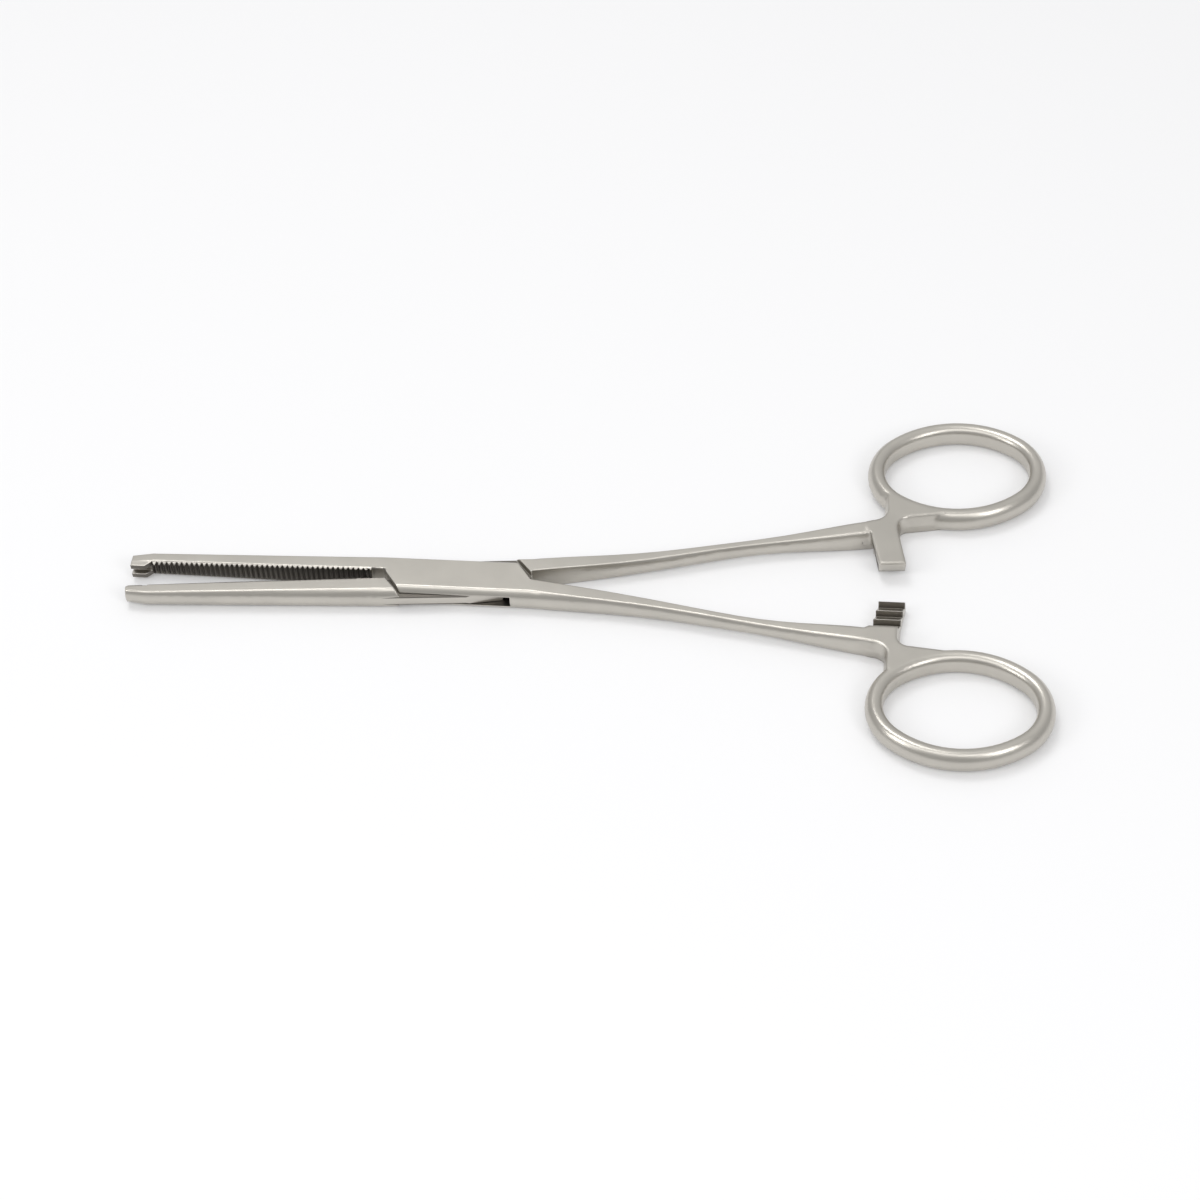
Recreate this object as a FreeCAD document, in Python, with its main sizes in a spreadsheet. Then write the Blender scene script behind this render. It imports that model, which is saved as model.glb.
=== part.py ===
import FreeCAD, Part
import math
import os
import re
import Sketcher

# Straight toothed artery forceps with a box lock, finger rings and a ratchet.
# The frame: +X runs from the pivot to the rings, +Y away from the box half's
# ring, +Z up. The origin is on the pivot axis in the flat underside of the box.

document = FreeCAD.newDocument("forceps")

# Driving dimensions, in millimetres and degrees. A reach is a distance along X
# from the pivot axis. An inner or outer size is measured from the centre line.
DIMENSIONS = [
    ("rest_opening", 4.86),
    ("box_thickness", 4.4),
    ("box_width", 8.7),
    ("box_side_bulge", 1.2),
    ("cheek_thickness", 1.15),
    ("cheek_reach", 12.57),
    ("shoulder_angle", 35.5),
    ("shoulder_gap", 0.4),
    ("slot_end_reach", 9.6),
    ("slot_end_clearance", 0.12),
    ("slide_clearance", 0.05),
    ("tongue_end_taper", 1.0),
    ("box_half_crotch", 0.3),
    ("tongue_half_crotch", 0.1),
    ("pin_diameter", 3.0),
    ("pin_head_diameter", 3.8),
    ("pin_head_depth", 0.4),
    ("pin_clearance", 0.03),
    ("jaw_reach", 58.0),
    ("jaw_front_length", 3.5),
    ("jaw_tip_outer", 2.3),
    ("jaw_front_outer", 2.95),
    ("jaw_tip_thickness", 3.0),
    ("jaw_front_thickness", 3.15),
    ("jaw_side_bulge", 0.6),
    ("jaw_relief", 0.25),
    ("jaw_bevel_width", 0.62),
    ("jaw_bevel_tip_drop", 0.66),
    ("jaw_bevel_root_drop", 0.4),
    ("jaw_root_flat_reach", 15.2),
    ("groove_pitch", 0.9),
    ("groove_depth", 0.61),
    ("groove_count", 44),
    ("tooth_length", 2.6),
    ("tooth_slope_length", 1.2),
    ("tooth_height", 0.65),
    ("tooth_gap", 1.1),
    ("middle_tooth_height", 0.45),
    ("tooth_clearance", 0.12),
    ("shank_side_bulge", 0.6),
    ("neck_side_bulge", 0.9),
    ("shank_inner_bulge", 0.45),
    ("neck_inner_bulge", 0.05),
    ("root_inner", 0.45),
    ("neck_reach", 17.5),
    ("neck_inner", 1.0),
    ("neck_outer", 4.55),
    ("neck_thickness", 4.15),
    ("waist_reach", 30.5),
    ("waist_inner", 2.4),
    ("waist_outer", 5.25),
    ("waist_thickness", 3.3),
    ("middle_reach", 45.0),
    ("middle_inner", 5.1),
    ("middle_outer", 7.25),
    ("middle_thickness", 2.95),
    ("heel_reach", 59.0),
    ("heel_inner", 6.9),
    ("heel_outer", 9.6),
    ("heel_thickness", 3.0),
    ("ring_root_reach", 70.0),
    ("ring_root_inner", 7.75),
    ("ring_root_outer", 11.5),
    ("ring_root_thickness", 4.1),
    ("shank_end_rise", 0.4),
    ("shank_end_sink", 0.02),
    ("ring_setback", 17.35),
    ("ring_centre_offset", 24.1),
    ("ring_half_length", 14.2),
    ("ring_half_width", 11.1),
    ("ring_end_radius", 9.3),
    ("ring_wall", 3.0),
    ("ring_height", 4.2),
    ("ring_side_bulge", 1.2),
    ("ring_hole_rounding", 1.3),
    ("web_draft", 14),
    ("web_start", 0.2),
    ("web_edge_clearance", 0.15),
    ("web_setback", 4.35),
    ("web_ring_overlap", 0.4),
    ("web_arm_fillet", 1.7),
    ("web_shank_fillet", 2.4),
    ("arm_setback", 2.9),
    ("arm_width", 4.5),
    ("upper_arm_gap", 0.7),
    ("arm_end_height", 0.8),
    ("arm_end_bevel", 0.8),
    ("arm_left_lean", 1.6),
    ("arm_right_lean", 1.2),
    ("arm_length", 9.6),
    ("ratchet_pitch", 2.08),
    ("ratchet_depth", 1.5),
    ("ratchet_land", 0.9),
    ("ratchet_count", 3),
    ("tooth_overcut", 0.1),
]

sheet = document.addObject("Spreadsheet::Sheet", "Dimensions")
for row, (alias, number) in enumerate(DIMENSIONS, start=1):
    sheet.set("A%d" % row, alias)
    sheet.set("B%d" % row, str(number))
    sheet.setAlias("B%d" % row, alias)
document.recompute()

ALIASES = {alias for alias, number in DIMENSIONS}


def value(formula):
    """Return what a formula of the sheet's aliases comes to."""
    result = sheet.evalExpression(formula)
    return float(getattr(result, "Value", result))


def bind(owner, path, formula):
    """Tie a property of a document object to a formula of the aliases."""
    linked = re.sub("[a-z_]+", lambda word: "Dimensions." + word[0] if word[0] in ALIASES else word[0], formula)
    owner.setExpression(path, linked)


def new_sketch(body, plane, name, height="0"):
    """Make a sketch on one of the body's own planes, raised by a height."""
    sketch = body.newObject("Sketcher::SketchObject", name)
    origin_plane = [item for item in body.Origin.OriginFeatures if item.Role == plane][0]
    sketch.AttachmentSupport = (origin_plane, [""])
    sketch.MapMode = "FlatFace"
    bind(sketch, "AttachmentOffset.Base.z", height)
    return sketch


def outline(sketch, corners, arcs=None, hollow=False):
    """Draw a closed outline through corners given as pairs of formulas.

    arcs maps a corner's index to the radius formula of the arc that starts
    there. The arc bulges to the right of the way to the next corner, or to the
    left if it is hollow.
    """
    arcs = arcs or {}
    points = [FreeCAD.Vector(value(across), value(up), 0) for across, up in corners]
    pieces = []
    for index, start in enumerate(points):
        end = points[(index + 1) % len(points)]
        if index in arcs:
            chord = end - start
            radius = value(arcs[index])
            rise = radius - math.sqrt(radius ** 2 - (chord.Length / 2) ** 2)
            right = FreeCAD.Vector(chord.y, -chord.x, 0).normalize()
            crown = (start + end) * 0.5 + right * (-rise if hollow else rise)
            piece = sketch.addGeometry(Part.Arc(start, crown, end))
        else:
            piece = sketch.addGeometry(Part.LineSegment(start, end))
        first_end = 1 if (sketch.getPoint(piece, 1) - start).Length < 1e-6 else 2
        pieces.append((piece, first_end))
    for index, (piece, first_end) in enumerate(pieces):
        previous, previous_first = pieces[index - 1]
        sketch.addConstraint(Sketcher.Constraint("Coincident", previous, 3 - previous_first, piece, first_end))
        for kind, formula, size in zip(("DistanceX", "DistanceY"), corners[index], points[index]):
            number = sketch.addConstraint(Sketcher.Constraint(kind, -1, 1, piece, first_end, size))
            bind(sketch, "Constraints[%d]" % number, formula)
        if index in arcs:
            number = sketch.addConstraint(Sketcher.Constraint("Radius", piece, value(arcs[index])))
            bind(sketch, "Constraints[%d]" % number, arcs[index])


def mirrored(side, corners):
    """Return the corners, on the other side of the centre line if side is -1."""
    return [(across, "%d * (%s)" % (side, up)) for across, up in corners]


def add_feature(body, kind, name, profile, **settings):
    """Add a feature that works on a profile sketch, and compute it."""
    feature = body.newObject("PartDesign::" + kind, name)
    feature.Profile = profile
    for setting, given in settings.items():
        if isinstance(given, str) and setting in ("Length", "Angle", "TaperAngle"):
            bind(feature, setting, given)
        else:
            setattr(feature, setting, given)
    document.recompute()
    return feature


def cut(body, name, profile, depth, **settings):
    """Pocket a profile to a depth against its plane's normal."""
    before = body.Shape.Volume
    feature = add_feature(body, "Pocket", name, profile, Length=depth, **settings)
    if body.Shape.Volume > before - 1e-6:
        raise RuntimeError(name + " cut nothing")
    return feature


def repeat(body, name, feature, profile, axis, spacing, count, backwards=False):
    """Repeat a feature along an axis of its sketch."""
    pattern = body.newObject("PartDesign::LinearPattern", name)
    pattern.Originals = [feature]
    pattern.Direction = (profile, [axis])
    pattern.Reversed = backwards
    bind(pattern, "Length", "(%s) * (%s - 1)" % (spacing, count))
    bind(pattern, "Occurrences", count)
    body.Tip = pattern
    document.recompute()
    return pattern


MIDDLE_HEIGHT = "box_thickness / 2"


# Limb sections: flat above and below, and rounded on one or both sides.

def bulge_radius(thickness, bulge):
    """Return the radius of a side that bulges by so much over a thickness."""
    return "(%s * %s / 4 + %s * %s) / (2 * %s)" % (thickness, thickness, bulge, bulge, bulge)


def limb_section(body, name, side, station):
    """Draw a limb's section across X. It stands on the given side."""
    reach, inner, outer, thickness, bulge, inner_bulge = station
    sketch = new_sketch(body, "YZ_Plane", name, reach)
    bind(sketch, "AttachmentOffset.Base.y", MIDDLE_HEIGHT)
    ridge, arcs = "(%s - %s)" % (outer, bulge), {2: bulge_radius(thickness, bulge)}
    if inner_bulge:
        inner = "(%s + %s)" % (inner, inner_bulge)
        arcs[0] = bulge_radius(thickness, inner_bulge)
    upper, lower = "%d * %s / 2" % (side, thickness), "%d * %s / 2" % (-side, thickness)
    corners = mirrored_across(side, [(inner, upper), (inner, lower), (ridge, lower), (ridge, upper)])
    outline(sketch, corners, arcs)
    return sketch


def mirrored_across(side, corners):
    """Return the corners with the first of each pair on the other side."""
    return [("%d * (%s)" % (side, across), up) for across, up in corners]


def add_limb(body, name, side, stations, ruled):
    """Loft a limb through its stations, each of which gives one section."""
    sections = [
        limb_section(body, "%sSection%d" % (name, number), side, station)
        for number, station in enumerate(stations, start=1)
    ]
    return add_feature(body, "AdditiveLoft", name, sections[0], Sections=sections[1:], Ruled=ruled)


# The two forged halves. Each has its jaw on one side and its shank on the other.

SLOPE = "tan(shoulder_angle)"
BOX_HALF_LENGTH = "(cheek_reach + 0.5)"
CLEAR = "(box_width + 1)"


def oblique(reach, width, end):
    """Return the corner where an oblique shoulder line is at a given width."""
    return "%s * (%s) - %s * (%s)" % (end, reach, SLOPE, width), width


def add_jaw(body, side):
    """Add the tapering jaw, and the box that both halves grow from."""
    add_limb(body, "Jaw", side, [
        ("-jaw_reach", "0", "jaw_tip_outer", "jaw_tip_thickness", "jaw_side_bulge", None),
        ("jaw_front_length - jaw_reach", "0", "jaw_front_outer", "jaw_front_thickness", "jaw_side_bulge", None),
        ("-" + BOX_HALF_LENGTH, "0", "box_width / 2", "box_thickness", "box_side_bulge", None),
    ], ruled=True)


def add_box(body):
    """Add the box: a bar with flat cheeks and two rounded sides."""
    sketch = new_sketch(body, "YZ_Plane", "BoxSection", "-" + BOX_HALF_LENGTH)
    bind(sketch, "AttachmentOffset.Base.y", MIDDLE_HEIGHT)
    ridge, half = "box_width / 2 - box_side_bulge", "box_thickness / 2"
    radius = bulge_radius("box_thickness", "box_side_bulge")
    corners = [(ridge, "-" + half), (ridge, half), ("-(%s)" % ridge, half), ("-(%s)" % ridge, "-" + half)]
    outline(sketch, corners, {0: radius, 2: radius})
    add_feature(body, "Pad", "Box", sketch, Length="2 * " + BOX_HALF_LENGTH)


def add_shank(body, side):
    """Add the slender shank, bowed outwards to its ring."""
    flat, full = "neck_inner_bulge", "shank_inner_bulge"
    add_limb(body, "Shank", side, [
        (BOX_HALF_LENGTH, "root_inner", "box_width / 2", "box_thickness", "box_side_bulge", flat),
        ("neck_reach", "neck_inner", "neck_outer", "neck_thickness", "neck_side_bulge", flat),
        ("waist_reach", "waist_inner", "waist_outer", "waist_thickness", "shank_side_bulge", full),
        ("middle_reach", "middle_inner", "middle_outer", "middle_thickness", "shank_side_bulge", full),
        ("heel_reach", "heel_inner", "heel_outer", "heel_thickness", "shank_side_bulge", full),
        ("ring_root_reach", "ring_root_inner", "ring_root_outer", "ring_root_thickness", "shank_side_bulge", full),
        ("ring_root_reach + arm_setback", "ring_root_inner + shank_end_rise", "ring_root_outer + shank_end_rise",
         "(ring_height - 2 * shank_end_sink)", "shank_side_bulge", full),
    ], ruled=False)


def add_ring(body, side):
    """Add the oval finger ring: a bar swept round four tangent arcs."""
    long, short, end = "ring_half_length", "ring_half_width", "ring_end_radius"
    flank = "((({0} - {2}) * ({0} - {2}) + {1} * {1} - {2} * {2}) / (2 * ({1} - {2})))".format(long, short, end)
    scale = "(%s / (%s - %s))" % (end, flank, end)
    across = "(%s - %s) * (1 + %s)" % (long, end, scale)
    up = "(%s - %s) * %s" % (flank, short, scale)
    centre = "%d * ring_centre_offset" % side
    corners = [(long, "0"), (across, up), ("-(%s)" % across, up),
               ("-(%s)" % across, "-(%s)" % up), (across, "-(%s)" % up)]
    path = new_sketch(body, "XY_Plane", "RingPath", MIDDLE_HEIGHT)
    outline(path, [("ring_root_reach + ring_setback + " + x, "%s + %s" % (centre, y)) for x, y in corners],
            {0: end, 1: flank, 2: end, 3: flank, 4: end})
    section = new_sketch(body, "XZ_Plane", "RingSection", "-(%s)" % centre)
    bind(section, "AttachmentOffset.Base.x", "ring_root_reach + ring_setback + " + long)
    bind(section, "AttachmentOffset.Base.y", MIDDLE_HEIGHT)
    ring_bar(section)
    add_feature(body, "AdditivePipe", "Ring", section, Spine=(path, ["Edge%d" % (n + 1) for n in range(5)]))


def ring_bar(sketch):
    """Draw the ring's section: rounded off round the hole, and bulged outside."""
    hole, ridge, half = "(-ring_wall / 2)", "(ring_wall / 2 - ring_side_bulge)", "ring_height / 2"
    outline(sketch, [
        (hole + " + ring_hole_rounding", "-" + half),
        (ridge, "-" + half),
        (ridge, half),
        (hole + " + ring_hole_rounding", half),
        (hole, half + " - ring_hole_rounding"),
        (hole, "ring_hole_rounding - " + half),
    ], {1: bulge_radius("ring_height", "ring_side_bulge"), 3: "ring_hole_rounding", 5: "ring_hole_rounding"})


def ring_point(turn):
    """Return a point in the ring's bar, turned from the ring's end nearest the pivot."""
    across = "ring_root_reach + ring_setback - (ring_half_length - web_ring_overlap) * cos(%d)" % turn
    return across, "ring_centre_offset - (ring_half_width - web_ring_overlap) * sin(%d)" % turn


def add_web(body, side, start):
    """Add the flat web between shank, ring and arm, with a forging's draft."""
    left = "(ring_root_reach + web_setback)"
    right = "(ring_root_reach + arm_setback + arm_width - arm_right_lean / 2)"
    brim = "(ring_centre_offset - ring_half_width - ring_wall / 2 + 0.1)"
    edge = "(%s + ratchet_land + ratchet_count * ratchet_pitch + web_edge_clearance)" % start
    corners = [
        ("ring_root_reach + web_start", "ring_root_inner"),
        ("ring_root_reach + arm_setback / 2", edge),
        (right, edge),
        (right, brim + " - web_arm_fillet"),
        (right + " + web_arm_fillet", brim),
        (ring_point(80)[0], brim + " + 0.6 * ring_side_bulge"),
        ring_point(84),
        ring_point(62),
        ring_point(46),
        ring_point(30),
        (left, ring_point(38)[1]),
        (left, "ring_root_outer + shank_end_rise + web_shank_fillet"),
        (left + " - web_shank_fillet", "ring_root_outer + shank_end_rise"),
        ("ring_root_reach + web_start", "ring_root_outer"),
    ]
    arcs = {3: "web_arm_fillet", 11: "web_shank_fillet"}
    for name, downwards in (("UpperWeb", False), ("LowerWeb", True)):
        sketch = new_sketch(body, "XY_Plane", name + "Outline", MIDDLE_HEIGHT)
        outline(sketch, mirrored(side, corners), arcs, hollow=side > 0)
        add_feature(body, "Pad", name, sketch, Length="ring_height / 2", Reversed=downwards, TaperAngle="-web_draft")


def add_ratchet(body, side, start, upper):
    """Add the ratchet arm, half as thick as the ring, and cut its teeth."""
    tips = "(%s - ratchet_depth / 2 + slide_clearance)" % MIDDLE_HEIGHT
    floor = "(%s - ring_height / 2)" % MIDDLE_HEIGHT
    height = "(ring_height / 2 + ratchet_depth / 2 - slide_clearance)"
    reach = "(ring_root_reach + arm_setback)"
    sketch = new_sketch(body, "XY_Plane", "ArmOutline", tips if upper else floor)
    outline(sketch, mirrored(side, [
        (reach + " - arm_left_lean", "arm_length"),
        (reach, start),
        (reach + " + arm_width", start),
        (reach + " + arm_width - arm_right_lean", "arm_length"),
    ]))
    add_feature(body, "Pad", "Arm", sketch, Length=height)
    turn = -1 if upper else 1
    valley, tip = "-(ratchet_depth / 2 + slide_clearance)", "(ratchet_depth / 2 - slide_clearance)"
    above = "(%s + tooth_overcut)" % tip
    end = "(arm_end_height - ring_height / 2)"
    slope = "((%s - %s) / arm_end_bevel)" % (tip, end)
    length = "arm_width + arm_left_lean + 2"
    bevel = new_sketch(body, "YZ_Plane", "ArmEndNotch", reach + " + arm_width + 1")
    bind(bevel, "AttachmentOffset.Base.y", MIDDLE_HEIGHT)
    outline(bevel, [
        ("%d * (%s - arm_end_bevel)" % (side, start), "%d * (%s - %s * arm_end_bevel)" % (turn, end, slope)),
        ("%d * (%s - arm_end_bevel)" % (side, start), "%d * %s" % (turn, above)),
        ("%d * (%s + (%s - %s) / %s)" % (side, start, above, end, slope), "%d * %s" % (turn, above)),
    ])
    cut(body, "ArmEnd", bevel, length)
    notch = new_sketch(body, "YZ_Plane", "RatchetNotch", reach + " + arm_width + 1")
    bind(notch, "AttachmentOffset.Base.y", MIDDLE_HEIGHT)
    face = "(%s + ratchet_land)" % start
    outline(notch, [
        ("%d * %s" % (side, face), "%d * %s" % (turn, valley)),
        ("%d * %s" % (side, face), "%d * %s" % (turn, above)),
        ("%d * (%s + ratchet_pitch * (1 + tooth_overcut / ratchet_depth))" % (side, face), "%d * %s" % (turn, above)),
    ])
    tooth = cut(body, "RatchetTooth", notch, length)
    repeat(body, "RatchetTeeth", tooth, notch, "H_Axis", "ratchet_pitch", "ratchet_count", side < 0)


def cut_grooves(body, side):
    """Cut the jaw's relief, bevels and cross grooves on its gripping face."""
    relief = new_sketch(body, "XY_Plane", "ReliefOutline", "box_thickness + 1")
    outline(relief, mirrored(side, [
        ("-jaw_reach - 1", "0"),
        ("-jaw_reach - 1", "-1"),
        ("-jaw_root_flat_reach", "-1"),
        ("-jaw_root_flat_reach", "jaw_relief"),
    ]))
    cut(body, "Relief", relief, "box_thickness + 2")
    for name, turn in (("Upper", 1), ("Lower", -1)):
        add_bevel(body, side, name, turn)
    groove = new_sketch(body, "XY_Plane", "GrooveOutline", "box_thickness + 1")
    last = "-jaw_root_flat_reach - groove_pitch / 2"
    outline(groove, mirrored(side, [
        (last, "groove_depth"),
        (last + " - groove_pitch", "-groove_depth"),
        (last + " + groove_pitch", "-groove_depth"),
    ]))
    first_groove = cut(body, "Groove", groove, "box_thickness + 2")
    repeat(body, "Grooves", first_groove, groove, "H_Axis", "groove_pitch", "groove_count", True)


def add_bevel(body, side, name, turn):
    """Bevel one long edge of the gripping face, less towards the box."""
    sections = []
    ends = (
        ("-jaw_reach - 0.5", "jaw_tip_thickness / 2", "jaw_bevel_tip_drop"),
        ("-cheek_reach", "box_thickness / 2", "jaw_bevel_root_drop"),
    )
    for number, (reach, edge, drop) in enumerate(ends, start=1):
        sketch = new_sketch(body, "YZ_Plane", "%sBevelSection%d" % (name, number), reach)
        bind(sketch, "AttachmentOffset.Base.y", MIDDLE_HEIGHT)
        outline(sketch, [
            ("%d * 1.5 * jaw_bevel_width" % side, "%d * (%s + 0.5 * %s)" % (turn, edge, drop)),
            ("%d * -0.5 * jaw_bevel_width" % side, "%d * (%s + 0.5 * %s)" % (turn, edge, drop)),
            ("%d * -0.5 * jaw_bevel_width" % side, "%d * (%s - 1.5 * %s)" % (turn, edge, drop)),
        ])
        sections.append(sketch)
    before = body.Shape.Volume
    add_feature(body, "SubtractiveLoft", name + "Bevel", sections[0], Sections=sections[1:], Ruled=True)
    if body.Shape.Volume > before - 1e-6:
        raise RuntimeError(name + " bevel cut nothing")


def tooth_outline(sketch, side, height, base, margin="0"):
    """Draw a tip tooth in plan, from the jaw's end to its slope."""
    outline(sketch, mirrored(side, [
        ("-jaw_reach - (%s)" % margin, base),
        ("-jaw_reach - (%s)" % margin, height),
        ("tooth_length - jaw_reach + (%s)" % margin, height),
        ("tooth_length + tooth_slope_length - jaw_reach + (%s)" % margin, base),
    ]))


def add_paired_teeth(body, side):
    """Add the box half's two tip teeth, one above the other."""
    sketch = new_sketch(body, "XY_Plane", "TeethOutline", "(box_thickness - jaw_tip_thickness) / 2")
    tooth_outline(sketch, side, "-tooth_height", "groove_depth + 0.1")
    add_feature(body, "Pad", "Teeth", sketch, Length="jaw_tip_thickness")
    gap = new_sketch(body, "XY_Plane", "TeethGapOutline", "(box_thickness + tooth_gap) / 2")
    tooth_outline(gap, side, "middle_tooth_height", "-tooth_height - 1", "1")
    cut(body, "TeethGap", gap, "tooth_gap")


def add_middle_tooth(body, side):
    """Cut two notches in the tongue half's tip, and leave one tooth between."""
    rise = "(tooth_gap / 2 - tooth_clearance)"
    sketch = new_sketch(body, "XY_Plane", "ToothOutline", "%s - %s" % (MIDDLE_HEIGHT, rise))
    tooth_outline(sketch, side, "-middle_tooth_height", "groove_depth + 0.1")
    add_feature(body, "Pad", "Tooth", sketch, Length="2 * " + rise)
    depth = "tooth_height + tooth_clearance"
    for name, level, length in (
        ("Upper", "box_thickness + 1", "box_thickness / 2 + 1 - %s" % rise),
        ("Lower", "%s - %s" % (MIDDLE_HEIGHT, rise), "box_thickness / 2"),
    ):
        notch = new_sketch(body, "XY_Plane", name + "NotchOutline", level)
        tooth_outline(notch, side, "-1", depth, "tooth_clearance")
        cut(body, name + "Notch", notch, length)


def cut_slot(body):
    """Cut the female half's cheeks free, and the slot between them."""
    below = "box_thickness + 1"
    front = new_sketch(body, "XY_Plane", "FrontCheekOutline", below)
    flat = "jaw_bevel_width"
    outline(front, [
        ("-jaw_root_flat_reach", flat),
        oblique("cheek_reach", flat, "-1"),
        oblique("cheek_reach", "-" + CLEAR, "-1"),
        ("-jaw_root_flat_reach", "-" + CLEAR),
    ])
    cut(body, "FrontCheekEnd", front, "box_thickness + 2")
    rear = new_sketch(body, "XY_Plane", "RearCheekOutline", below)
    outline(rear, [
        oblique("cheek_reach", "-root_inner", "1"),
        ("cheek_reach + 1.5", "-root_inner"),
        ("cheek_reach + 1.5", CLEAR),
        oblique("cheek_reach", CLEAR, "1"),
    ])
    cut(body, "RearCheekEnd", rear, "box_thickness + 2")
    slot = new_sketch(body, "XY_Plane", "SlotOutline", "box_thickness - cheek_thickness")
    far = "jaw_root_flat_reach + 1"
    outline(slot, [
        ("-slot_end_reach", CLEAR),
        ("-slot_end_reach", "box_half_crotch"),
        ("-(%s)" % far, "box_half_crotch"),
        ("-(%s)" % far, "-" + CLEAR),
        ("slot_end_reach", "-" + CLEAR),
        ("slot_end_reach", "-box_half_crotch"),
        (far, "-box_half_crotch"),
        (far, CLEAR),
    ])
    cut(body, "Slot", slot, "box_thickness - 2 * cheek_thickness")


def cut_tongue(body):
    """Thin the tongue half between its shoulders, and round the tongue's ends."""
    reach = "cheek_reach + shoulder_gap"
    corners = [
        oblique(reach, "-" + CLEAR, "-1"),
        oblique(reach, "-" + CLEAR, "1"),
        oblique(reach, CLEAR, "1"),
        oblique(reach, CLEAR, "-1"),
    ]
    thin = "(cheek_thickness + slide_clearance)"
    for name, level, length in (
        ("Upper", "box_thickness + 1", "1 + " + thin),
        ("Lower", thin, "1 + " + thin),
    ):
        sketch = new_sketch(body, "XY_Plane", name + "TongueOutline", level)
        outline(sketch, corners)
        cut(body, name + "TongueFace", sketch, length)
    for name, end in (("Front", -1), ("Rear", 1)):
        sketch = new_sketch(body, "XY_Plane", name + "TaperOutline", "box_thickness + 1")
        outline(sketch, [
            ("0", "%d * (box_width / 2 + 0.1)" % -end),
            ("%d * slot_end_reach" % end, "%d * (box_width / 2 - tongue_end_taper)" % -end),
            ("%d * slot_end_reach" % end, "%d * %s" % (-end, CLEAR)),
            ("0", "%d * %s" % (-end, CLEAR)),
        ])
        cut(body, name + "Taper", sketch, "box_thickness + 2")
    radius = "(slot_end_reach - slot_end_clearance)"
    step, wide = "tongue_half_crotch", "(box_width / 2 + 1)"
    for name, end in (("Front", -1), ("Rear", 1)):
        sketch = new_sketch(body, "XY_Plane", name + "CrotchOutline", "box_thickness + 1")
        flat = "jaw_bevel_width" if end < 0 else "root_inner"
        outer = "jaw_root_flat_reach" if end < 0 else BOX_HALF_LENGTH
        shoulder = "(cheek_reach + shoulder_gap - 0.1)"
        outline(sketch, [
            ("%d * sqrt(%s * %s - %s * %s)" % (end, radius, radius, step, step), "%d * %s" % (end, step)),
            ("%d * sqrt(%s * %s - %s * %s)" % (end, radius, radius, wide, wide), "%d * %s" % (-end, wide)),
            ("%d * %s" % (end, outer), "%d * %s" % (-end, wide)),
            ("%d * %s" % (end, outer), "%d * %s" % (end, flat)),
            ("%d * %s" % (end, shoulder), "%d * %s" % (end, flat)),
            ("%d * %s" % (end, shoulder), "%d * %s" % (end, step)),
        ], {0: radius})
        cut(body, name + "Crotch", sketch, "box_thickness + 2")


def pin_outline(body, name, radius, head_radius):
    """Draw half the pin's profile, on the pivot axis."""
    sketch = new_sketch(body, "XZ_Plane", name)
    outline(sketch, [
        ("0", "0"),
        (head_radius, "0"),
        (radius, "pin_head_depth"),
        (radius, "box_thickness - pin_head_depth"),
        (head_radius, "box_thickness"),
        ("0", "box_thickness"),
    ])
    return sketch


def bore(body, radius, head_radius):
    """Bore a half for the pin."""
    sketch = pin_outline(body, "BoreProfile", radius, head_radius)
    before = body.Shape.Volume
    add_feature(body, "Groove", "Bore", sketch, ReferenceAxis=(sketch, ["V_Axis"]), Angle="360")
    if body.Shape.Volume > before - 1e-6:
        raise RuntimeError("the bore cut nothing")


def place(body, formula):
    """Turn a piece about the pivot axis to its resting angle."""
    body.Placement = FreeCAD.Placement(FreeCAD.Vector(), FreeCAD.Rotation(FreeCAD.Vector(0, 0, 1), value(formula)))
    bind(body, "Placement.Rotation.Angle", formula)


# The box half: the female forging, with the far jaw and the near ring.

box_half = document.addObject("PartDesign::Body", "box_half")
add_jaw(box_half, 1)
add_box(box_half)
add_shank(box_half, -1)
add_ring(box_half, -1)
add_web(box_half, -1, "0")
add_ratchet(box_half, -1, "0", upper=False)
cut_slot(box_half)
bore(box_half, "pin_diameter / 2", "pin_head_diameter / 2")
cut_grooves(box_half, 1)
add_paired_teeth(box_half, 1)
place(box_half, "-rest_opening / 2")

# The tongue half: the male forging, with the near jaw and the far ring.

tongue_half = document.addObject("PartDesign::Body", "tongue_half")
add_jaw(tongue_half, -1)
add_box(tongue_half)
add_shank(tongue_half, 1)
add_ring(tongue_half, 1)
add_web(tongue_half, 1, "upper_arm_gap")
add_ratchet(tongue_half, 1, "upper_arm_gap", upper=True)
cut_tongue(tongue_half)
bore(tongue_half, "pin_diameter / 2 + pin_clearance", "pin_diameter / 2 + pin_clearance")
cut_grooves(tongue_half, -1)
add_middle_tooth(tongue_half, -1)
place(tongue_half, "rest_opening / 2")

# The pivot pin: pressed through both cheeks and spread flush at each end.

pivot_pin = document.addObject("PartDesign::Body", "pivot_pin")
profile = pin_outline(pivot_pin, "PinProfile", "pin_diameter / 2", "pin_head_diameter / 2")
add_feature(pivot_pin, "Revolution", "Pin", profile, ReferenceAxis=(profile, ["V_Axis"]), Angle="360")

document.recompute()
pieces = [box_half, tongue_half, pivot_pin]
for item in document.Objects:
    if "Invalid" in item.State or "Error" in item.State:
        raise RuntimeError(item.Label + " did not rebuild")
for piece in pieces:
    if piece.Shape.isNull() or not piece.Shape.isValid() or len(piece.Shape.Solids) != 1:
        raise RuntimeError(piece.Label + " is not one sound solid")

os.makedirs("parts", exist_ok=True)
for piece in pieces:
    piece.Shape.exportStep("parts/%s.step" % piece.Label)
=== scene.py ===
import math

import bmesh
import bpy
from mathutils import Matrix, Vector
from mathutils.bvhtree import BVHTree


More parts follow.
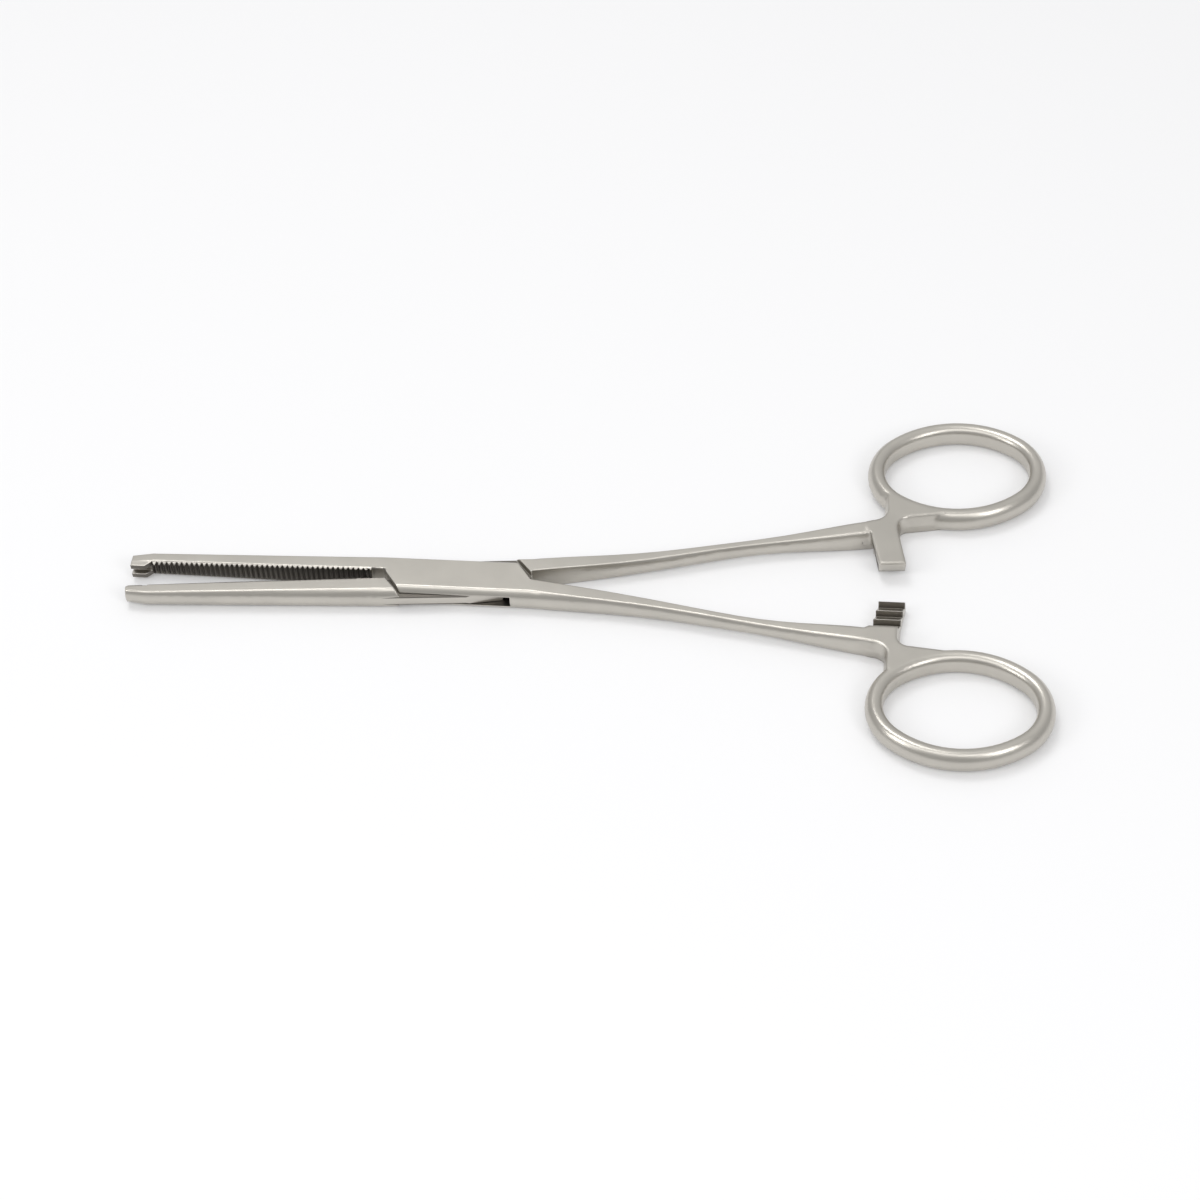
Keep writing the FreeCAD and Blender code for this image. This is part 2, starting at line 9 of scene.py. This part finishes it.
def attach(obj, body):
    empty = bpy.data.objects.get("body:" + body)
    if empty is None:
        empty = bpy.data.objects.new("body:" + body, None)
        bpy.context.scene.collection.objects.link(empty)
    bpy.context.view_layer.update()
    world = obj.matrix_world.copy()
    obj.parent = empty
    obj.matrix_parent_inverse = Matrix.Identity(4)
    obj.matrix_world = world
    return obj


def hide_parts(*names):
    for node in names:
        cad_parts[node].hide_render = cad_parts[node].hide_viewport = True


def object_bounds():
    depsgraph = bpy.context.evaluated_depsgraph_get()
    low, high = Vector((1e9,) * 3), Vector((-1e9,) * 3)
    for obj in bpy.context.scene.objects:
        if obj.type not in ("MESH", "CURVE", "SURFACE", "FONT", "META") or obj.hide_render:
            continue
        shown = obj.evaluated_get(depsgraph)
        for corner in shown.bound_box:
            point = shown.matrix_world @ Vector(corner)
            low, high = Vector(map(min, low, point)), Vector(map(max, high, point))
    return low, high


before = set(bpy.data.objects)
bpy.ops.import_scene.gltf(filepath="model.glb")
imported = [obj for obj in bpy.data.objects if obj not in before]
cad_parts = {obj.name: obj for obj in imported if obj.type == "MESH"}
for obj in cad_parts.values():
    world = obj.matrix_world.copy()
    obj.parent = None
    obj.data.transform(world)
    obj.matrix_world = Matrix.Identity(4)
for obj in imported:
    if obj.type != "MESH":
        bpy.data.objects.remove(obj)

cad_low, cad_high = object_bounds()

# Box half. One forging of stainless steel: the far jaw, the box with its two
# cheeks, the near shank, its ring and the lower ratchet arm. It is ground to
# shape, blasted to a matt satin finish, and its edges are broken by tumbling.

MM = 0.001  # metres
CLOUD_SIZE = 6.0  # mm
CLOUD_SHADE, CLOUD_EDGES = 0.93, (0.3, 0.7)
GRAIN_SIZE = 0.16  # mm, coarser than the real 0.05 mm, which is too fine to show
GRAIN_HEIGHT, GRAIN_STRENGTH, GRAIN_GLOSS = 0.01, 0.25, 0.06
HANDLE_START, HANDLE_END = 58.0, 68.0  # mm along X
BEVEL_RAYS = 8


def linear(colour):
    """Turn a #rrggbb colour into linear values, by the standard sRGB curve."""
    parts = [int(colour[i:i + 2], 16) / 255 for i in (1, 3, 5)]
    return [p / 12.92 if p <= 0.04045 else ((p + 0.055) / 1.055) ** 2.4 for p in parts] + [1.0]


def add_node(tree, kind, inputs, **settings):
    """Add a shader node with its settings. An input gets a value, or a link from a socket."""
    node = tree.nodes.new("ShaderNode" + kind)
    for setting, given in settings.items():
        setattr(node, setting, given)
    for socket, given in inputs.items():
        if isinstance(given, bpy.types.NodeSocket):
            tree.links.new(given, node.inputs[socket])
        else:
            node.inputs[socket].default_value = given
    return node


def satin_steel(name, colour, roughness, edge_radius, handle_radius):
    """Return a matt stainless steel with a fine even grain and faint clouds.

    Its edges look rounded by a radius in mm, which grows from the shanks to the
    rings, because tumbling wears those most.
    """
    material = bpy.data.materials.new(name)
    material.use_nodes = True
    tree = material.node_tree
    place = add_node(tree, "TexCoord", {}).outputs["Object"]

    clouds = add_node(tree, "TexNoise", {
        "Vector": place, "Scale": 1 / (CLOUD_SIZE * MM), "Detail": 3.0})
    tint = add_node(tree, "ValToRGB", {"Fac": clouds.outputs["Fac"]})
    for stop, edge, shade in zip(tint.color_ramp.elements, CLOUD_EDGES, (CLOUD_SHADE, 1.0)):
        stop.position = edge
        stop.color = [part * shade for part in linear(colour)[:3]] + [1.0]

    grain = add_node(tree, "TexNoise", {
        "Vector": place, "Scale": 1 / (GRAIN_SIZE * MM), "Detail": 2.0}).outputs["Fac"]
    dullness = add_node(tree, "MapRange", {
        "Value": grain, "To Min": roughness - GRAIN_GLOSS, "To Max": roughness + GRAIN_GLOSS})

    along = add_node(tree, "SeparateXYZ", {"Vector": place})
    radius = add_node(tree, "MapRange", {
        "Value": along.outputs["X"],
        "From Min": HANDLE_START * MM, "From Max": HANDLE_END * MM,
        "To Min": edge_radius * MM, "To Max": handle_radius * MM})
    softened = add_node(tree, "Bevel", {"Radius": radius.outputs["Result"]}, samples=BEVEL_RAYS)
    bump = add_node(tree, "Bump", {
        "Strength": GRAIN_STRENGTH, "Distance": GRAIN_HEIGHT * MM,
        "Height": grain, "Normal": softened.outputs["Normal"]})

    shader = tree.nodes["Principled BSDF"]
    shader.inputs["Metallic"].default_value = 1.0
    tree.links.new(tint.outputs["Color"], shader.inputs["Base Color"])
    tree.links.new(dullness.outputs["Result"], shader.inputs["Roughness"])
    tree.links.new(bump.outputs["Normal"], shader.inputs["Normal"])
    return material


# Blasted: a warm pale grey that spreads every highlight. Painted shade, on the
# jaws' gripping teeth, in the lock's slot and on the ratchet's teeth: a darker grey
# that stands in for the shade there, rougher and with crisp edges. Ground, on the
# cheeks and the pin: as pale as the blasted steel, but with no soft edge, so that
# the pin hardly shows.
blasted_steel = satin_steel(
    "blasted_stainless_steel", "#c7c3bb", roughness=0.31, edge_radius=0.3, handle_radius=0.8)
shade_painted_steel = satin_steel(
    "shade_painted_stainless_steel", "#76726c", roughness=0.42, edge_radius=0.05, handle_radius=0.1)
ground_steel = satin_steel(
    "ground_stainless_steel", "#c7c3bb", roughness=0.31, edge_radius=0.02, handle_radius=0.02)
FINISHES_AND_SHADE = (blasted_steel, shade_painted_steel, ground_steel)

# Places on a half, in mm in its own frame: turned back by half the opening that
# it rests at, and mirrored where needed, so that its jaw is on the +Y side.
HALF_OPENING = 2.43  # degrees
MIDDLE_HEIGHT = 2.2
TIP_TEETH_START, JAW_ROOT, GRIP_DEPTH = -54.2, -15.2, 0.72
BORE_RADIUS, HIDDEN_HALF_HEIGHT = 2.1, 1.5
SLOT_HALF_LENGTH, SLOT_HALF_WIDTH, SLOT_HALF_HEIGHT = 9.65, 4.25, 1.07
CHEEK_HALF_LENGTH = 13.0
WEB_START, WEB_ZONE = 70.72, 0.4
WEB_SEAM, WEB_STEP = 0.03, 0.18
RATCHET_START, RATCHET_END, RATCHET_ROOT, RATCHET_TIP = 71.0, 78.5, -8.0, -0.2

BROKEN_EDGE = 0.09  # mm
SAME_POINT = 0.001  # mm
SAME_PLANE, SHARP_EDGE, SHARP_SHADING = 0.3, 28.0, 40.0  # degrees
GRIP_FACING, GRIP_LEAN, TOOTH_FACING, LEVEL_FACING = 0.2, 0.4, 0.5, 0.99  # parts of a normal
BEVEL_STEPS, FLAT_FACE_WEIGHT = 2, 80


def own_frame(vector, jaw_side):
    """Return a vector's parts in the own frame of the half with its jaw on that side."""
    turned = Matrix.Rotation(math.radians(jaw_side * HALF_OPENING), 3, "Z") @ vector
    return turned.x, turned.y * jaw_side, turned.z


def joined_copy(node, jaw_side):
    """Copy a half from the CAD and join what its faces are cut into.

    The web starts with a tiny step, which is closed. The hidden faces round the
    bore stay cut up, because a joined face would run across the hole.
    """
    work = bmesh.new()
    work.from_mesh(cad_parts[node].data)
    bmesh.ops.remove_doubles(work, verts=work.verts, dist=SAME_POINT * MM)
    seam = [vert for vert in work.verts
            if abs(own_frame(vert.co, jaw_side)[0] / MM - WEB_START) < WEB_SEAM]
    bmesh.ops.remove_doubles(work, verts=seam, dist=WEB_STEP * MM)
    plain = [vert for vert in work.verts
             if math.hypot(vert.co.x, vert.co.y) > BORE_RADIUS * MM
             or abs(vert.co.z - MIDDLE_HEIGHT * MM) > HIDDEN_HALF_HEIGHT * MM]
    among = set(plain)
    joining = [edge for edge in work.edges if among.issuperset(edge.verts)]
    bmesh.ops.dissolve_limit(
        work, angle_limit=math.radians(SAME_PLANE), verts=plain, edges=joining)
    return work


def mark_sharp_edges(work, jaw_side):
    """Mark the edges that tumbling breaks.

    The bore, the web's start and the inward edges of the tip's teeth stay sharp.
    """
    share = work.edges.layers.float.new("bevel_weight_edge")
    for edge in work.edges:
        middle = (edge.verts[0].co + edge.verts[1].co) / (2 * MM)
        reach = own_frame(middle, jaw_side)[0]
        bore = math.hypot(middle.x, middle.y) < BORE_RADIUS
        web = abs(reach - WEB_START) < WEB_ZONE
        notch = reach < TIP_TEETH_START and not edge.is_convex
        sharp = edge.calc_face_angle(0.0) > math.radians(SHARP_EDGE)
        edge[share] = float(sharp and not (bore or web or notch))


def baked(mesh, name, kind, **settings):
    """Return a mesh with one modifier applied."""
    carrier = bpy.data.objects.new(name, mesh)
    bpy.context.collection.objects.link(carrier)
    modifier = carrier.modifiers.new(kind.lower(), kind)
    for setting, given in settings.items():
        setattr(modifier, setting, given)
    shown = carrier.evaluated_get(bpy.context.evaluated_depsgraph_get())
    made = bpy.data.meshes.new_from_object(shown)
    bpy.data.objects.remove(carrier)
    made.name = name
    return made


def tumbled(work, name):
    """Return a mesh with its marked edges broken and its faces shaded smooth.

    A point that the bevel throws off the surface is put back on it, and none is
    left higher or lower than the CAD.
    """
    for face in work.faces:
        face.smooth = True
    mesh = bpy.data.meshes.new(name)
    work.to_mesh(mesh)
    surface = BVHTree.FromBMesh(work)
    mesh = baked(mesh, name, "BEVEL", width=BROKEN_EDGE * MM, segments=BEVEL_STEPS,
                 limit_method="WEIGHT", use_clamp_overlap=False, miter_outer="MITER_ARC")
    for vert in mesh.vertices:
        nearest, *_, distance = surface.find_nearest(vert.co)
        if distance > BROKEN_EDGE / 2 * MM:
            vert.co = nearest
        vert.co.z = min(max(vert.co.z, cad_low.z), cad_high.z)
    mesh.set_sharp_from_angle(angle=math.radians(SHARP_SHADING))
    return baked(mesh, name, "WEIGHTED_NORMAL", keep_sharp=True, weight=FLAT_FACE_WEIGHT)


def finish_or_shade_at(place, normal):
    """Return the finish or the painted shade of a face from its place and its normal in the own
    frame.
    """
    x, y, z = (part / MM for part in place)
    away, upwards = normal[1:]
    grip = x < JAW_ROOT and y < GRIP_DEPTH and away < -GRIP_FACING and abs(upwards) < GRIP_LEAN
    slot = (abs(x) < SLOT_HALF_LENGTH and abs(y) < SLOT_HALF_WIDTH
            and abs(z - MIDDLE_HEIGHT) < SLOT_HALF_HEIGHT)
    ratchet = (RATCHET_START < x < RATCHET_END and RATCHET_ROOT < y < RATCHET_TIP
               and away < -TOOTH_FACING)
    # The gripping faces, the slot and the ratchet's teeth get painted shade: a darker grey where
    # the jaws face each other and in the recesses.
    if grip or slot or ratchet:
        return shade_painted_steel
    cheek = abs(upwards) > LEVEL_FACING and abs(x) < CHEEK_HALF_LENGTH
    return ground_steel if cheek else blasted_steel


def forging(node, name, jaw_side):
    """Dress one half: a tumbled copy of it that rides on its node and replaces it."""
    work = joined_copy(node, jaw_side)
    mark_sharp_edges(work, jaw_side)
    mesh = tumbled(work, name)
    work.free()
    mesh.materials.clear()
    for finish_or_shade in FINISHES_AND_SHADE:
        mesh.materials.append(finish_or_shade)
    for polygon in mesh.polygons:
        place, normal = (own_frame(part, jaw_side) for part in (polygon.center, polygon.normal))
        polygon.material_index = FINISHES_AND_SHADE.index(finish_or_shade_at(place, normal))
    piece = bpy.data.objects.new(name, mesh)
    bpy.context.collection.objects.link(piece)
    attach(piece, node)
    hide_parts(node)


forging("box_half", "box_half_forging", 1)

# Tongue half. The second forging, of the same steel and finish: the near jaw,
# the tongue that passes through the box, the far shank, ring and upper arm.

forging("tongue_half", "tongue_half_forging", -1)

# Pivot pin. A turned steel pin, pressed through both cheeks. Its ends are spread
# into countersinks and ground flush, so that it hardly shows.

for pin_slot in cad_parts["pivot_pin"].material_slots:
    pin_slot.material = ground_steel

# Table. A pale board that the forceps lie on. It is seen a little lighter than
# it is lit, as in a light tent, and keeps its soft shadow.

TABLE_HALF, TABLE_GLOW = 1.5, 0.12
table_mesh = bpy.data.meshes.new("table_top")
corners = [(x * TABLE_HALF, y * TABLE_HALF) for x, y in ((-1, -1), (1, -1), (1, 1), (-1, 1))]
table_mesh.from_pydata([(x, y, cad_low.z) for x, y in corners], [], [(0, 1, 2, 3)])
table = bpy.data.objects.new("table_top", table_mesh)
bpy.context.collection.objects.link(table)

# White laminate: nearly white and matt, so that the shadow on it stays even.
laminate = bpy.data.materials.new("white_laminate")
laminate.use_nodes = True
tree = laminate.node_tree
surface = tree.nodes["Principled BSDF"]
surface.inputs["Base Color"].default_value = linear("#f2f2f3")
surface.inputs["Roughness"].default_value = 0.6
surface.inputs["Specular IOR Level"].default_value = 0.2
glow = add_node(tree, "Emission", {"Color": linear("#ffffff"), "Strength": 1.0})
ray = add_node(tree, "LightPath", {}).outputs
direct = add_node(tree, "Math", {
    0: ray["Is Camera Ray"], 1: ray["Is Glossy Ray"]}, operation="MAXIMUM")
seen = add_node(tree, "Math", {
    0: direct.outputs["Value"], 1: ray["Is Transmission Ray"]}, operation="MAXIMUM")
share = add_node(tree, "Math", {0: seen.outputs["Value"], 1: TABLE_GLOW}, operation="MULTIPLY")
blend = add_node(tree, "MixShader", {
    0: share.outputs["Value"], 1: surface.outputs["BSDF"], 2: glow.outputs["Emission"]})
tree.links.new(blend.outputs["Shader"], tree.nodes["Material Output"].inputs["Surface"])
table_mesh.materials.append(laminate)

# Light. A light tent: a pale room, brightest overhead and a little behind, and
# dimmer towards the camera. A long strip lamp hangs over the near side, and
# smaller soft lamps hang behind and at both sides.

OVERHEAD = Vector((0.0, 0.35, 0.94)).normalized()
DIMMEST, BRIGHTEST, FALL_OFF = 0.38, 0.78, 2.0
room = bpy.data.worlds.new("light_tent")
bpy.context.scene.world = room
room.use_nodes = True
tree = room.node_tree
direction = add_node(tree, "TexCoord", {})
towards = add_node(tree, "VectorMath", {
    0: direction.outputs["Generated"], 1: OVERHEAD}, operation="DOT_PRODUCT")
height = add_node(tree, "Math", {
    0: towards.outputs["Value"], 1: 0.5, 2: 0.5}, operation="MULTIPLY_ADD")
falling = add_node(tree, "Math", {0: height.outputs["Value"], 1: FALL_OFF}, operation="POWER")
strength = add_node(tree, "Math", {
    0: falling.outputs["Value"], 1: BRIGHTEST - DIMMEST, 2: DIMMEST}, operation="MULTIPLY_ADD")
background = tree.nodes["Background"]
background.inputs["Color"].default_value = linear("#ffffff")
tree.links.new(strength.outputs["Value"], background.inputs["Strength"])

LIT_POINT = Vector((0.02, 0.0, 0.0))
LAMPS = (  # name, place, width, depth, watts
    ("rear_lamp", (-0.12, 0.22, 0.68), 0.26, 0.26, 1.0),
    ("strip_lamp", (0.0, -0.36, 0.62), 0.8, 0.22, 0.95),
    ("left_lamp", (-0.6, -0.35, 0.5), 0.26, 0.26, 1.0),
    ("right_lamp", (0.5, -0.45, 0.5), 0.24, 0.24, 0.9),
)
for name, place, width, depth, watts in LAMPS:
    lamp = bpy.data.lights.new(name, "AREA")
    lamp.shape = "RECTANGLE"
    lamp.size = width
    lamp.size_y = depth
    lamp.energy = watts
    holder = bpy.data.objects.new(name, lamp)
    holder.location = place
    holder.rotation_euler = (LIT_POINT - Vector(place)).to_track_quat("-Z", "Y").to_euler()
    bpy.context.collection.objects.link(holder)

# Camera. A long lens looking down at the forceps from their near side, as in
# the photograph, turned a little about its own axis.

AIM = Vector((0.02497, -0.00374, 0.0022))
DISTANCE = 0.53687
ELEVATION, YAW, ROLL = math.radians(46.0), math.radians(-7.2365), math.radians(-4.4878)
FOCAL_PIXELS, IMAGE_PIXELS, SENSOR_WIDTH = 3122.18, 1200, 36.0
forward = Vector((
    math.sin(YAW) * math.cos(ELEVATION), math.cos(YAW) * math.cos(ELEVATION), -math.sin(ELEVATION)))
level = Vector((math.cos(YAW), -math.sin(YAW), 0.0))
upright = level.cross(forward)
right = math.cos(ROLL) * level + math.sin(ROLL) * upright
up = -math.sin(ROLL) * level + math.cos(ROLL) * upright
lens = bpy.data.cameras.new("camera")
lens.sensor_width = SENSOR_WIDTH
lens.lens = FOCAL_PIXELS / IMAGE_PIXELS * SENSOR_WIDTH
camera = bpy.data.objects.new("camera", lens)
camera.matrix_world = Matrix((right, up, -forward)).transposed().to_4x4()
camera.location = AIM - DISTANCE * forward
bpy.context.collection.objects.link(camera)
bpy.context.scene.camera = camera
bpy.context.scene.view_settings.view_transform = "Standard"
